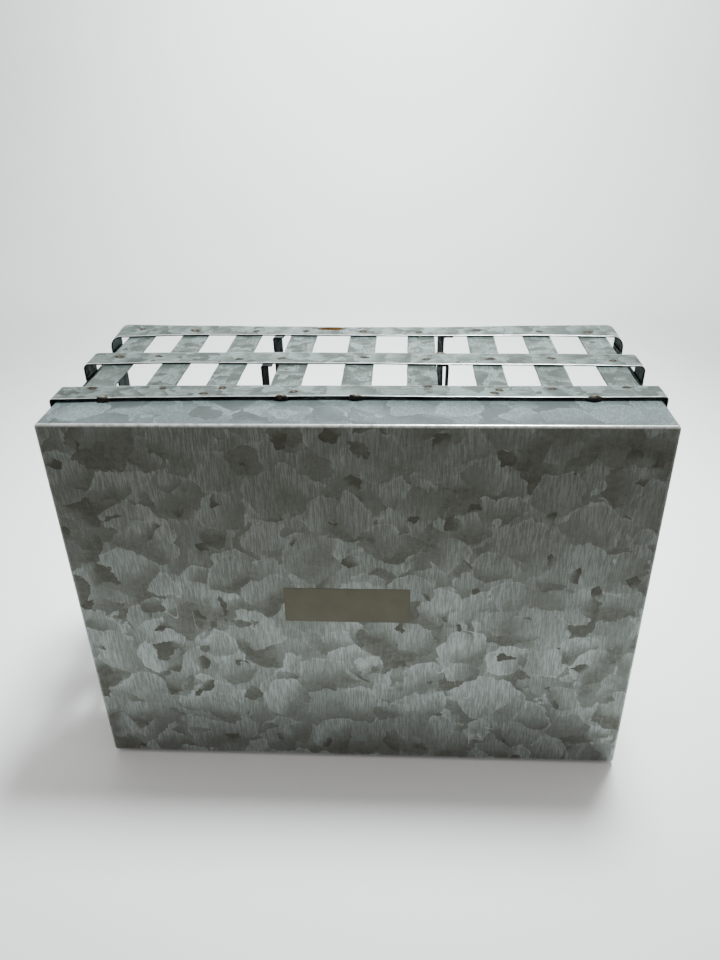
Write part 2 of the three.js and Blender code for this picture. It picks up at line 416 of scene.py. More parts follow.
def zinc(shader, size, dark_share, calm=0.0):
    """How light bare zinc is, from 0 to 1, with its roughness and its relief."""
    place = shader.attribute("sheet", "Vector")
    crystal = spangle(shader, place, size, dark_share, calm)
    feather = shader.noise(place, 1 / 3.2, 5.0, 0.7)
    ripple = hairlines(shader, place, 0.65)
    cloud = shader.noise(place, 1 / 60, 2.0)
    mottle = shader.noise(place, 1 / 1.1, 3.0, 0.7)
    tone = nudge(shader, crystal, feather, shader.step(crystal, 0.2, 0.7, 0.75, 0.20))
    fine = shader.minus(1.0, shader.times(calm, 0.35))
    lines = shader.step(crystal, 0.40, 0.75, 0.08, 0.34)
    tone = nudge(shader, tone, ripple, shader.times(lines, fine))
    tone = nudge(shader, tone, cloud, 0.3)
    tone = nudge(shader, tone, mottle, shader.times(fine, 0.35))
    rough = shader.step(crystal, 0.2, 0.9, 0.46, 0.30)
    grain = shader.noise(place, 1 / 0.7, 3.0)
    height = shader.times(ripple, 0.6)
    height = nudge(shader, height, grain, 0.3)
    return {"place": place, "tone": tone, "rough": rough, "height": height}


def wear_and_painted_edges(shader, base, colour, edge_paint_colour):
    """Black specks, fine scratches, and the edges painted in the given colour: a painted
    highlight on the hoops and the pan, painted shade on the slats and dividers.
    """
    place = base["place"]
    specks = shader.add("TexVoronoi", {"Vector": place, "Scale": 1 / 23})
    speck = shader.step(specks.outputs["Distance"], 0.016, 0.03, 0.85, 0.0)
    colour = shader.blend(speck, colour, (0.02, 0.02, 0.018, 1))

    line = shader.noise(shader.vector("MULTIPLY", place, (1, 0.35, 1)), 1 / 38, 1.5)
    line = shader.math("ABSOLUTE", shader.minus(line, 0.5))
    line = shader.step(line, 0.0004, 0.0016, 1.0, 0.0)
    broken = shader.noise(place, 1 / 17, 2.0)
    scratch = shader.times(line, shader.step(broken, 0.60, 0.66, 0.0, 0.4))
    colour = shader.blend(scratch, colour, (0.55, 0.56, 0.54, 1))

    # The edges get the given colour, a painted highlight on the hoops and the pan and painted
    # shade on the slats and dividers, broken into patches by noise.
    edge = shader.attribute("edge")
    edge_patches = shader.noise(place, 1 / 3.2, 4.0)
    edge_patches = shader.step(edge_patches, 0.3, 0.62, 0.45, 0.95)
    return shader.blend(shader.times(edge, edge_patches), colour, edge_paint_colour)


def steel_bsdf(shader, colour, rough, height, metallic, bump=0.05):
    relief = shader.add("Bump", {"Strength": 0.35, "Distance": bump * MM, "Height": height})
    inputs = {
        "Base Color": colour,
        "Roughness": rough,
        "Metallic": metallic,
        "Normal": relief.outputs[0],
    }
    return shader.add("BsdfPrincipled", inputs)


def heat_tint(shader, place, colour):
    """Brown heat tint round the spot welds, and the ragged patch of rust."""
    heat = shader.attribute("heat")
    blotch = shader.noise(place, 1 / 2.2, 3.0)
    heat = shader.times(heat, shader.step(blotch, 0.25, 0.7))
    colour = shader.blend(heat, colour, (0.050, 0.040, 0.030, 1))
    rust = shader.attribute("rust")
    ragged = shader.noise(place, 1 / 1.6, 4.0, 0.7)
    rust = shader.plus(rust, shader.minus(ragged, 0.5))
    rust = shader.step(rust, 0.52, 0.66)
    rust_tone = shader.noise(place, 1 / 0.9, 4.0)
    rust_colour = shader.ramp(rust_tone, (
        (0.35, (0.014, 0.007, 0.003)),
        (0.65, (0.060, 0.027, 0.007)),
    ))
    return shader.blend(rust, colour, rust_colour), rust


def pan_steel():
    """Sheet of the pan: a dull underside with dark crystals, bluer and calmer walls."""
    shader = Shader("galvanised_sheet")
    wall = shader.attribute("wall")
    base = zinc(shader, 28.0, 0.12, wall)
    under = shader.ramp(base["tone"], PAN_TONES)
    colour = shader.blend(wall, under, shader.ramp(base["tone"], WALL_TONES))
    # Painted highlight along the pan's bends, strongest on the front one.
    colour = wear_and_painted_edges(shader, base, colour, EDGE_HIGHLIGHT)
    edge = shader.attribute("edge")
    rough = shader.mix(edge, base["rough"], 0.24)
    bsdf = steel_bsdf(shader, colour, rough, base["height"], 0.62)
    return shader.finish(bsdf)


def strap_steel(name, tones, size, edge_paint_colour, metallic):
    """Flat strip: zinc on both sides, duller and darker on the inner one. Near-black painted
    shade lies on the inner half of each edge.
    """
    shader = Shader(name)
    base = zinc(shader, size, 0.15)
    vivid = nudge(shader, 0.5, base["tone"], 1.5)
    colour = wear_and_painted_edges(shader, base, shader.ramp(vivid, tones), edge_paint_colour)
    inner = shader.attribute("inner")
    colour = shader.blend(shader.times(inner, 0.5), colour, (0.022, 0.025, 0.026, 1))
    # Painted shade, near black, on the inner half of each edge.
    under_edge_shade = shader.attribute("under_edge_shade")
    colour = shader.blend(shader.times(under_edge_shade, 0.8), colour, (0.008, 0.008, 0.008, 1))
    colour, rust = heat_tint(shader, base["place"], colour)
    edge = shader.attribute("edge")
    rough = shader.mix(edge, base["rough"], 0.24)
    dull = shader.math("MAXIMUM", rust, shader.math("MAXIMUM", inner, under_edge_shade))
    rough = shader.mix(dull, rough, 0.8)
    bare = shader.mix(dull, metallic, 0.0)
    bsdf = steel_bsdf(shader, colour, rough, base["height"], bare)
    shader.feed(bsdf.inputs["Specular IOR Level"], shader.times(bare, 0.8))
    return shader.finish(bsdf)


def spot_weld_steel():
    """The dent of a spot weld: tan in the middle, burnt brown round it, zinc outside."""
    shader = Shader("spot_weld_steel")
    base = zinc(shader, 15.0, 0.15)
    ragged = shader.noise(base["place"], 1 / 1.1, 4.0, 0.65)
    ring = nudge(shader, shader.attribute("ring"), ragged, 0.55)
    core = shader.attribute("core")
    burnt = shader.ramp(ring, (
        (0.00, (0.022, 0.015, 0.011)),
        (0.45, (0.010, 0.008, 0.007)),
        (0.75, (0.028, 0.022, 0.018)),
        (1.00, (0.090, 0.088, 0.080)),
    ))
    tan = shader.times(core, shader.step(ring, 0.12, 0.34, 1.0, 0.0))
    burnt = shader.blend(tan, burnt, (0.16, 0.105, 0.055, 1))
    cover = shader.step(ring, 0.74, 1.0, 1.0, 0.0)
    colour = shader.blend(cover, shader.ramp(base["tone"], STRAP_TONES), burnt)
    rough = shader.mix(cover, base["rough"], 0.62)
    bsdf = steel_bsdf(shader, colour, rough, base["height"], shader.mix(cover, 0.62, 0.1))
    shader.feed(bsdf.inputs["Specular IOR Level"], shader.mix(cover, 0.5, 0.1))
    return shader.finish(bsdf)


def tack_weld_steel():
    """Lumps of burnt weld metal: grey and tan on top, nearly black at the foot."""
    shader = Shader("tack_weld_steel")
    place = shader.attribute("sheet", "Vector")
    ragged = shader.noise(place, 1 / 1.0, 4.0, 0.7)
    ring = nudge(shader, shader.attribute("ring"), ragged, 0.8)
    colour = shader.ramp(ring, (
        (0.20, (0.22, 0.17, 0.11)),
        (0.42, (0.080, 0.062, 0.044)),
        (0.60, (0.016, 0.013, 0.011)),
        (1.00, (0.008, 0.007, 0.006)),
    ))
    height = shader.noise(place, 1 / 0.6, 4.0)
    bsdf = steel_bsdf(shader, colour, shader.step(ragged, 0.2, 0.8, 0.45, 0.75), height, 0.2, 0.2)
    shader.feed(bsdf.inputs["Specular IOR Level"], 0.2)
    return shader.finish(bsdf)


def label_paper():
    """Olive-brown label stock with a fine grain, a little dirty and darker at its edge."""
    shader = Shader("label_stock")
    place = shader.attribute("sheet", "Vector")
    grain = shader.noise(place, 1 / 0.35, 4.0, 0.7)
    cloud = shader.noise(place, 1 / 14, 3.0)
    tone = shader.plus(shader.times(grain, 0.35), shader.times(cloud, 0.65))
    colour = shader.ramp(tone, (
        (0.30, (0.066, 0.058, 0.033)),
        (0.70, (0.092, 0.082, 0.050)),
    ))
    edge = shader.attribute("edge")
    colour = shader.blend(shader.times(edge, 0.5), colour, (0.040, 0.040, 0.022, 1))
    relief = shader.add("Bump", {"Strength": 0.3, "Distance": 0.03 * MM, "Height": grain})
    inputs = {"Base Color": colour, "Roughness": 0.5, "Normal": relief.outputs[0]}
    return shader.finish(shader.add("BsdfPrincipled", inputs))


def floor_paint():
    shader = Shader("pale_floor")
    place = shader.add("TexCoord").outputs["Object"]
    cloud = shader.noise(place, 1.6, 2.0)
    colour = shader.ramp(cloud, ((0.3, (0.80, 0.80, 0.80)), (0.7, (0.84, 0.84, 0.84))))
    inputs = {"Base Color": colour, "Roughness": 0.55, "Specular IOR Level": 0.3}
    return shader.finish(shader.add("BsdfPrincipled", inputs))


def card_paint():
    shader = Shader("dark_card")
    inputs = {"Base Color": (0.32, 0.29, 0.25, 1), "Roughness": 0.9}
    return shader.finish(shader.add("BsdfPrincipled", inputs))


# ---------------- mesh building


def piece_from(name, bm, material, nodes=()):
    """Turns a bmesh drawn on the upright crate into a finished piece of the crate."""
    bmesh.ops.recalc_face_normals(bm, faces=bm.faces)
    for face in bm.faces:
        face.smooth = True
    mesh = bpy.data.meshes.new(name)
    bm.to_mesh(mesh)
    bm.free()
    mesh.transform(LAY_DOWN)
    mesh.materials.append(material)
    piece = bpy.data.objects.new(name, mesh)
    bpy.context.scene.collection.objects.link(piece)
    weighted = piece.modifiers.new("flat_faces", "WEIGHTED_NORMAL")
    weighted.weight = 90
    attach(piece, "root")
    if nodes:
        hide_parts(*nodes)


def layers_of(bm, *names):
    """Number layers on the mesh's points, by name."""
    return [bm.verts.layers.float.new(name) for name in names]


def new_mesh(*names):
    """Empty mesh and its layers: the place on the flat sheet, then the named numbers."""
    bm = bmesh.new()
    sheet = bm.verts.layers.float_vector.new("sheet")
    return bm, [sheet, *layers_of(bm, *names)]


def bridge(bm, rings):
    """Faces between each closed ring of points and the next one."""
    for ring, following in zip(rings, rings[1:]):
        for k in range(len(ring)):
            j = (k + 1) % len(ring)
            bm.faces.new((ring[k], ring[j], following[j], following[k]))


def fill_grid(bm, rows):
    """Faces between the rows of a grid of points."""
    for row, following in zip(rows, rows[1:]):
        for k in range(len(row) - 1):
            bm.faces.new((row[k], row[k + 1], following[k + 1], following[k]))


def distances_along(points):
    """How far along a line each of its points lies."""
    walked = [0.0]
    for before, place in zip(points, points[1:]):
        walked.append(walked[-1] + (place - before).length)
    return walked


def heading(angle):
    """Level direction at that angle from x."""
    return Vector((math.cos(angle), math.sin(angle)))


def middle_of(node):
    """Middle of a CAD node's box, on the upright crate."""
    low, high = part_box(node)
    return Vector((
        (low.x + high.x) / 2,
        MIDDLE - (low.z + high.z) / 2,
        (low.y + high.y) / 2 - UNDERSIDE,
    ))


def strip_section(thickness, rounding, cells, rim):
    """Section of a strip, as (share of the width, inset, through the thickness): its outer
    face, the rounded far edge, its inner face and the rounded near edge."""
    corner_steps = 3
    across = [(0, rounding)]
    if rim:
        across.append((0, rounding + rim))
    across += [(k / cells, rounding * (1 - 2 * k / cells)) for k in range(1, cells)]
    if rim:
        across.append((1, -rounding - rim))
    across.append((1, -rounding))
    flat = thickness / 2 - rounding
    quarter = [k * math.pi / 2 / corner_steps for k in range(corner_steps + 1)]
    points = []
    for side, face, edge in ((1, across, 1), (-1, across[::-1], 0)):
        points += [(share, inset, side * thickness / 2) for share, inset in face]
        for angle in quarter[1:]:
            inset = rounding * math.sin(angle) - rounding
            points.append((edge, side * inset, side * (flat + rounding * math.cos(angle))))
        for angle in quarter[:-1]:
            inset = rounding * math.cos(angle) - rounding
            points.append((edge, side * inset, -side * (flat + rounding * math.sin(angle))))
    return points


def sweep_strip(stations, thickness, rounding, offset, cells=6, rim=0.0):
    """Strip through stations of (one edge, other edge, outward normal). Its edges carry a painted
    colour on their outer half (a painted highlight on the hoops, painted shade on the slats and
    dividers) and painted shade on the other half; both reach onto its faces by rim."""
    section = strip_section(thickness, rounding, cells, rim)
    edge_reach = rounding + 0.5 * rim if rim else 0.9 * rounding
    bm, (sheet, edge, under_edge_shade, inner) = new_mesh("edge", "under_edge_shade", "inner")
    rings = []
    walked = distances_along([(near + far) / 2 for near, far, _ in stations])
    for (near, far, normal), travelled in zip(stations, walked):
        width = (far - near).length
        along_width = (far - near) / width
        ring = []
        for share, inset, through in section:
            across = share * width + inset
            vert = bm.verts.new(near + along_width * across + normal * through)
            vert[sheet] = Vector((across, travelled, through * SKIN_SPREAD)) / MM + offset
            # The outer half of each edge gets the painted edge colour, full on the near edge and
            # weaker on the far one; the inner half gets painted shade.
            at_edge = min(across, width - across) < edge_reach
            upper = through > 0.4 * thickness
            edge_paint = 1.0 if across < width / 2 else FAR_EDGE_PAINT
            vert[edge] = edge_paint if at_edge and upper else 0.0
            vert[under_edge_shade] = 1.0 if at_edge and not upper else 0.0
            vert[inner] = 1.0 if through < 0 else 0.0
            ring.append(vert)
        rings.append(ring)
    bridge(bm, rings)
    bm.faces.new(rings[0])
    bm.faces.new(reversed(rings[-1]))
    return bm


def piece_offset(name):
    """Where a piece was cut out of the zinc sheet, so no two show the same crystals."""
    picker = random.Random(name)
    return Vector([picker.uniform(0, 900) for _ in range(3)])


def ripple_of(name, amplitude, wavelengths):
    """A smooth small wave along a strip, the same each time for the same name."""
    picker = random.Random(name + "_wave")
    phases = [picker.uniform(0, 2 * math.pi) for _ in wavelengths]

    def wave(distance):
        total = 0.0
        for wavelength, phase in zip(wavelengths, phases):
            total += math.sin(2 * math.pi * distance / wavelength + phase)
        return amplitude * total / len(wavelengths)

    return wave


def smooth_pick(values, share):
    """Smooth value of a list of evenly spaced heights, at a share from 0 to 1."""
    share = min(max(share, 0.0), 1.0) * (len(values) - 1)
    index = min(int(share), len(values) - 2)
    t = share - index
    t = t * t * (3 - 2 * t)
    return values[index] * (1 - t) + values[index + 1] * t


# ---------------- pan


def sheet_sag(x, y):
    """How far the pan's bottom sheet stands off flat, as thin sheet does: oil canning."""
    inside_x = max(0.0, 1 - (2 * x / PAN_LENGTH) ** 6)
    inside_y = max(0.0, 1 - (2 * y / PAN_WIDTH) ** 6)
    swell = noise.noise(Vector((x / 0.09, y / 0.08, 4.2)))
    return OIL_CANNING * swell * inside_x * inside_y


def border_of(half_x, half_y, cells_x, cells_y, corner_steps):
    """Loop round a rectangle: (corner or side point, outward direction)."""
    signs = ((-1, -1), (1, -1), (1, 1), (-1, 1))
    corners = [Vector((half_x * x, half_y * y)) for x, y in signs]
    loop = []
    for number, start in enumerate(corners):
        end = corners[(number + 1) % 4]
        cells = cells_y if number % 2 else cells_x
        outward = math.radians(-90 + 90 * number)
        for k in range(cells + 1):
            loop.append((start.lerp(end, k / cells), heading(outward)))
        for k in range(1, corner_steps):
            angle = outward + math.radians(90) * k / corner_steps
            loop.append((end, heading(angle)))
    return loop


def pan_profile():
    """(distance outwards, height, strength of the painted highlight) from the underside to the
    inside.
    """
    bend_steps = 5
    wall_rows = 8
    reach = PAN_CORNER
    inner_bend = PAN_BEND - PAN_SHEET
    profile = [(0.35 * (reach - PAN_BEND), 0.0, 0.0)]
    for k in range(bend_steps + 1):
        angle = math.pi / 2 * k / bend_steps
        out = reach - PAN_BEND + PAN_BEND * math.sin(angle)
        profile.append((out, PAN_BEND - PAN_BEND * math.cos(angle), 1.0))
    rim_round = 0.45 * PAN_SHEET
    top = PAN_DEPTH - rim_round
    highlight_fades = 0.25 * MM
    profile.append((reach, PAN_BEND + highlight_fades, 0.0))
    for k in range(1, wall_rows + 1):
        profile.append((reach, PAN_BEND + (top - PAN_BEND) * k / wall_rows, 0.0))
    middle = reach - PAN_SHEET / 2
    rim_steps = 6
    for k in range(1, rim_steps):
        angle = math.pi * k / rim_steps
        out = middle + PAN_SHEET / 2 * math.cos(angle)
        profile.append((out, top + rim_round * math.sin(angle), 0.6))
    inner = reach - PAN_SHEET
    for k in range(wall_rows + 1):
        profile.append((inner, top + (PAN_BEND - top) * k / wall_rows, 0.0))
    for k in range(1, bend_steps + 1):
        angle = math.pi / 2 * k / bend_steps
        out = inner - inner_bend + inner_bend * math.cos(angle)
        profile.append((out, PAN_BEND - inner_bend * math.sin(angle), 0.3))
    return profile


def base_pan(material):
    half_x = PAN_LENGTH / 2 - PAN_CORNER
    half_y = PAN_WIDTH / 2 - PAN_CORNER
    cells_x = round(2 * half_x / PAN_CELL)
    cells_y = round(2 * half_y / PAN_CELL)
    loop = border_of(half_x, half_y, cells_x, cells_y, corner_steps=6)
    bm, (sheet, edge, wall) = new_mesh("edge", "wall")

    def point(x, y, z, edge_amount):
        vert = bm.verts.new((x, y, z))
        vert[sheet] = Vector((x, y, z)) / MM + PAN_OFFSET
        vert[edge] = edge_amount
        vert[wall] = 1.0 if z > PAN_BEND - 0.01 * MM else 0.0
        return vert

    def flat_grid(height):
        grid = []
        for row in range(cells_y + 1):
            y = -half_y + 2 * half_y * row / cells_y
            columns = []
            for column in range(cells_x + 1):
                x = -half_x + 2 * half_x * column / cells_x
                columns.append(point(x, y, height - sheet_sag(x, y), 0.0))
            grid.append(columns)
        fill_grid(bm, grid)

    flat_grid(0.0)
    flat_grid(PAN_SHEET)
    rings = [[point(p.x, p.y, -sheet_sag(p.x, p.y), 0.0) for p, _ in loop]]
    for out, height, edge_amount in pan_profile():
        ring = []
        for p, d in loop:
            # Painted highlight along the bends: full on the front bend, weaker on the other
            # three.
            edge_paint = edge_amount if d.y < -0.7 else SIDE_BEND_HIGHLIGHT * edge_amount
            ring.append(point(p.x + out * d.x, p.y + out * d.y, height, edge_paint))
        rings.append(ring)
    rings.append([point(p.x, p.y, PAN_SHEET - sheet_sag(p.x, p.y), 0.0) for p, _ in loop])
    bridge(bm, rings)
    bmesh.ops.remove_doubles(bm, verts=bm.verts, dist=0.001 * MM)
    piece_from("base_pan_formed", bm, material, ["base_pan"])


# ---------------- hoops


class Hoop:
    """One hoop: its place from the CAD node, and its hand-bent waves."""

    def __init__(self, node):
        low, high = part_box(node)
        self.node = node
        self.settings = HOOPS[node]
        self.bottom = low.y - UNDERSIDE
        self.half_x = (high.x - low.x) / 2 - HOOP_THICKNESS / 2
        self.half_y = (high.z - low.z) / 2 - HOOP_THICKNESS / 2
        self.radius = self.settings["corner"] - HOOP_THICKNESS / 2
        self.wave = ripple_of(node, 0.10 * MM, (83 * MM, 47 * MM))

    def bent(self, name, x):
        share = (x + self.half_x) / (2 * self.half_x)
        return smooth_pick(self.settings[name], share) * MM

    def edges(self, x, y, normal, travelled):
        """Near and far edge where the hoop's middle line passes x, y."""
        frontness = 0.5 - y / (2 * self.half_y)
        facing = max(0.0, -normal.y) ** 2
        points = []
        for edge_name, height in (("near", 0.0), ("far", STRAP_WIDTH)):
            rise = self.bent(edge_name + "_rise", x) * frontness
            flare = self.bent(edge_name + "_flare", x) * facing
            sideways = abs(normal.x) * abs(self.wave(travelled))
            place = Vector((x, y, self.bottom + height + rise))
            points.append(place + normal * (flare + sideways))
        return points

    def path(self, step=2.5 * MM, corner_steps=8):
        """Points round the hoop from one side of its slit to the other."""
        half_x, half_y = self.half_x, self.half_y
        flat_x = half_x - self.radius
        flat_y = half_y - self.radius
        legs = (
            ((HOOP_SLIT_X - HOOP_SLIT / 2, half_y), (-flat_x, half_y)),
            ((-half_x, flat_y), (-half_x, -flat_y)),
            ((-flat_x, -half_y), (flat_x, -half_y)),
            ((half_x, -flat_y), (half_x, flat_y)),
            ((flat_x, half_y), (HOOP_SLIT_X + HOOP_SLIT / 2, half_y)),
        )
        points = []
        for number, (start, end) in enumerate(legs, start=1):
            start, end = Vector(start), Vector(end)
            angle = math.radians(90 * number)
            normal = heading(angle)
            cells = max(1, round((end - start).length / step))
            for k in range(cells + 1):
                points.append((start.lerp(end, k / cells), normal))
            if number == len(legs):
                break
            centre = end - normal * self.radius
            for k in range(1, corner_steps):
                turned = angle + math.radians(90) * k / corner_steps
                normal = heading(turned)
                points.append((centre + normal * self.radius, normal))
        return points

    def surface(self, x, height):
        """Point of the front face's outer skin at x and height, and its axes."""
        near, far = self.edges(x, -self.half_y, -BACK, 0.0)
        share = (height - near.z) / (far.z - near.z)
        up = (far - near).normalized()
        outward = up.cross(RIGHT).normalized()
        if outward.y > 0:
            outward = -outward
        return near.lerp(far, share) + outward * HOOP_THICKNESS / 2, outward, up

    def sheet_place(self, x, height):
        """Where that point lay on the flat sheet, to match the hoop's own pattern."""
        back = HOOP_SLIT_X - HOOP_SLIT / 2 + self.half_x - self.radius
        quarter = math.pi / 2 * self.radius
        side = 2 * (self.half_y - self.radius)
        front = x + self.half_x - self.radius
        travelled = back + quarter + side + quarter + front
        across = height - self.bottom
        through = HOOP_THICKNESS / 2 * SKIN_SPREAD
        return Vector((across, travelled, through)) / MM + piece_offset(self.node)

    def build(self, material, welds):
        stations = []
        path = self.path()
        walked = distances_along([place for place, _ in path])
        for (place, direction), travelled in zip(path, walked):
            normal = Vector((direction.x, direction.y, 0))
            near, far = self.edges(place.x, place.y, normal, travelled)
            stations.append((near, far, normal))
        offset = piece_offset(self.node)
        bm = sweep_strip(stations, HOOP_THICKNESS, HOOP_ROUNDING, offset, cells=9, rim=HOOP_RIM)
        heat, rust = layers_of(bm, "heat", "rust")
        for vert in bm.verts:
            if vert.co.y > -self.half_y:
                continue
            here = Vector((vert.co.x, vert.co.z)) / MM
            warmth = 0.0
            for x, height in welds:
                gap = (here - Vector((x, height))).length
                warmth = max(warmth, math.exp(-(gap / HEAT_REACH) ** 2))
            vert[heat] = 0.8 * warmth
            if self.node == "band_upper":
                gap = here - RUST_CENTRE
                gap = Vector((gap.x / RUST_SIZE.x, gap.y / RUST_SIZE.y)).length
                vert[rust] = max(0.0, 1.5 - 0.8 * gap)
        piece_from(self.node + "_formed", bm, material, [self.node])


# ---------------- slats


def slat(node, material, lean_deg, side):
    """One slat. side is the outward direction of the side that it stands in."""
    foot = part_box(node)[0].y - UNDERSIDE
    centre = middle_of(node)
    level = UP.cross(side)
    lean = math.radians(lean_deg)
    bow = ripple_of(node, 0.10 * MM, (61 * MM, 37 * MM))
    jitter = ripple_of(node + "_edge", 0.12 * MM, (43 * MM, 19 * MM))
    stations = []
    steps = 36
    for k in range(steps + 1):
        height = foot + (SLAT_TOP - foot) * k / steps
        middle = centre + level * math.tan(lean) * (height - centre.z)
        middle.z = height
        middle += side * bow(height)
        half = level * STRAP_WIDTH / 2
        wander = level * jitter(height)
        stations.append((middle - half + wander, middle + half + wander, side))
    offset = piece_offset(node)
    bm = sweep_strip(stations, SLAT_THICKNESS, SLAT_ROUNDING, offset, rim=SLAT_RIM)
    piece_from(node + "_formed", bm, material, [node])


def all_slats(material):
    for number, lean in enumerate(SIDE_SLAT_LEAN_DEG, start=1):
        slat(f"front_slat_{number}", material, lean, -BACK)
        slat(f"back_slat_{number}", material, -lean, BACK)
    for number in range(1, END_SLATS + 1):
        slat(f"left_slat_{number}", material, 0, -RIGHT)
        slat(f"right_slat_{number}", material, 0, RIGHT)


# ---------------- dividers


def tabbed_path(half_span, tab_side):
    """Middle line of a strap with a turned tab at both ends: (along, sideways, normal)."""
    bend = DIVIDER_BEND - DIVIDER_THICKNESS / 2
    bend_steps = 6
    tab_steps = 4
    end_line = half_span - DIVIDER_THICKNESS / 2
    points = []
    for end in (-1, 1):
        leg = []
        for k in range(tab_steps):
            sideways = TAB_LENGTH + (bend - TAB_LENGTH) * k / tab_steps
            leg.append((end * end_line, tab_side * sideways, (end, 0)))
        for k in range(bend_steps + 1):
            angle = math.pi / 2 * k / bend_steps
            along = end_line - bend + bend * math.cos(angle)
            sideways = bend - bend * math.sin(angle)
            normal = (end * math.cos(angle), -tab_side * math.sin(angle))
            leg.append((end * along, tab_side * sideways, normal))
        points.append(leg if end < 0 else leg[::-1])
    first, last = points
    start = first[-1][0]
    stop = last[0][0]
    run = []
    cells = round((stop - start) / DIVIDER_CELL)
    for k in range(1, cells):
        run.append((start + (stop - start) * k / cells, 0.0, (0, -tab_side)))
    return first + run + last


def notched(run, notches, half_width):
    """Adds upright-sided notches to the straight run: where the edge steps to mid height."""
    clear = half_width + 1 * MM
    upright = 0.02 * MM
    shifts = [side * half_width + way * upright for side in (-1, 1) for way in (-1, 1)]
    for place in notches:
        run = [p for p in run if not (p[1] == 0.0 and abs(p[0] - place) < clear)]
        index = next(i for i, p in enumerate(run) if p[0] > place and p[1] == 0.0)
        normal = run[index][2]
        inserted = [(place + shift, 0.0, normal) for shift in shifts]
        run = run[:index] + inserted + run[index:]
    return run


def divider(node, material, along, tilts, tab_side, notches, notch_top):
    """A divider strap. along is its direction; notches are where other straps cross it."""
    low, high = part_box(node)
    centre = middle_of(node)
    if along.y:
        centre.x = CROSS_STRAPS[node][0] * MM
        half_span = (high.z - low.z) / 2
        sideways_axis = RIGHT
    else:
        centre.y = 0.0
        half_span = (high.x - low.x) / 2
        sideways_axis = -BACK
    wave = ripple_of(node, 0.5 * MM, (170 * MM, 96 * MM))
    half_notch = DIVIDER_THICKNESS / 2 + LAP_GAP
    run = notched(tabbed_path(half_span, tab_side), notches, half_notch)
    stations = []
    for distance, sideways, (normal_along, normal_side) in run:
        share = 0.5 + distance / (2 * half_span)
        tilt = math.radians(tilts[0] * (1 - share) + tilts[1] * share)
        fade = max(0.0, 1 - (abs(distance) / half_span) ** 8)
        for notch in notches:
            fade *= min(1.0, abs(distance - notch) / LAP_STIFFENS)
        middle = centre + along * distance + sideways_axis * (sideways + wave(distance) * fade)
        up = Vector((0, 0, math.cos(tilt))) + sideways_axis * math.sin(tilt)
        side_now = sideways_axis * math.cos(tilt) - Vector((0, 0, math.sin(tilt)))
        normal = (along * normal_along + side_now * normal_side).normalized()
        near = middle - up * STRAP_WIDTH / 2
        far = middle + up * STRAP_WIDTH / 2
        in_notch = any(abs(distance - notch) < half_notch for notch in notches)
        if in_notch and sideways == 0.0:
            if notch_top:
                far = middle - up * LAP_GAP
            else:
                near = middle + up * LAP_GAP
        stations.append((near, far, normal))
    bm = sweep_strip(stations, DIVIDER_THICKNESS, DIVIDER_ROUNDING, piece_offset(node))
    piece_from(node + "_formed", bm, material, [node])


def all_dividers(material):
    for node, (_, front_tilt, back_tilt, tab_side) in CROSS_STRAPS.items():
        divider(node, material, BACK, (front_tilt, back_tilt), tab_side, (0.0,), True)
    for node in LONG_STRAPS:
        level = node.split("_")[-1]
        crossings = sorted(
            values[0] * MM for name, values in CROSS_STRAPS.items() if name.endswith(level)
        )
        divider(node, material, RIGHT, (0, 0), 1, crossings, False)


# ---------------- welds


def add_spot(bm, layers, centre, outward, up, sheet_centre, picker, size):
    """One spot weld: a shallow dent with a raised lip, closed underneath. Its profile is
    (share of the size, lift off the strip in mm)."""
    sheet, ring_layer, core_layer = layers
    aside = up.cross(outward).normalized()
    turn = picker.uniform(-0.5, 0.5)
    long_axis = aside * math.cos(turn) + up * math.sin(turn)
    short_axis = up * math.cos(turn) - aside * math.sin(turn)
    stretch = picker.uniform(1.25, 1.7)
    core = picker.choice((0.15, 0.5, 1.0))
    seed = picker.uniform(0, 100)
    spokes = 28
    profile = ((0.0, 0.035), (0.22, 0.04), (0.4, 0.09), (0.58, 0.12), (0.76, 0.07), (1.0, -0.02))
    rings = []
    for share, lift in profile[1:]:
        ring = []
        for k in range(spokes):
            angle = 2 * math.pi * k / spokes
            ragged = noise.noise(Vector((math.cos(angle) * 1.3, math.sin(angle) * 1.3, seed)))
            radius = size * share * (1 + 0.45 * ragged)
            flat = long_axis * math.cos(angle) * radius * stretch
            flat += short_axis * math.sin(angle) * radius
            vert = bm.verts.new(centre + flat + outward * lift * MM)
            across = flat.dot(up)
            along = flat.dot(aside)
            vert[sheet] = sheet_centre + Vector((across, along, 0)) / MM
            vert[ring_layer] = share
            vert[core_layer] = core
            ring.append(vert)
        rings.append(ring)
    middle = bm.verts.new(centre + outward * profile[0][1] * MM)
    middle[sheet] = sheet_centre
    middle[core_layer] = core
    bottom = bm.verts.new(centre - outward * WELD_DEPTH)
    bottom[sheet] = sheet_centre
    bottom[ring_layer] = 1.0
    for k in range(spokes):
        j = (k + 1) % spokes
        bm.faces.new((middle, rings[0][k], rings[0][j]))
        bm.faces.new((bottom, rings[-1][j], rings[-1][k]))
        for ring, following in zip(rings, rings[1:]):
            bm.faces.new((ring[k], following[k], following[j], ring[j]))


def front_spot_welds(hoops, material):
    bm, layers = new_mesh("ring", "core")
    picker = random.Random("front_spots")
    for hoop in hoops:
        for x, height in FRONT_WELDS[hoop.node]:
            centre, outward, up = hoop.surface(x * MM, height * MM)
            place = hoop.sheet_place(x * MM, height * MM)
            size = picker.uniform(1.9, 2.7) * MM
            add_spot(bm, layers, centre, outward, up, place, picker, size)
    piece_from("spot_welds_front", bm, material)


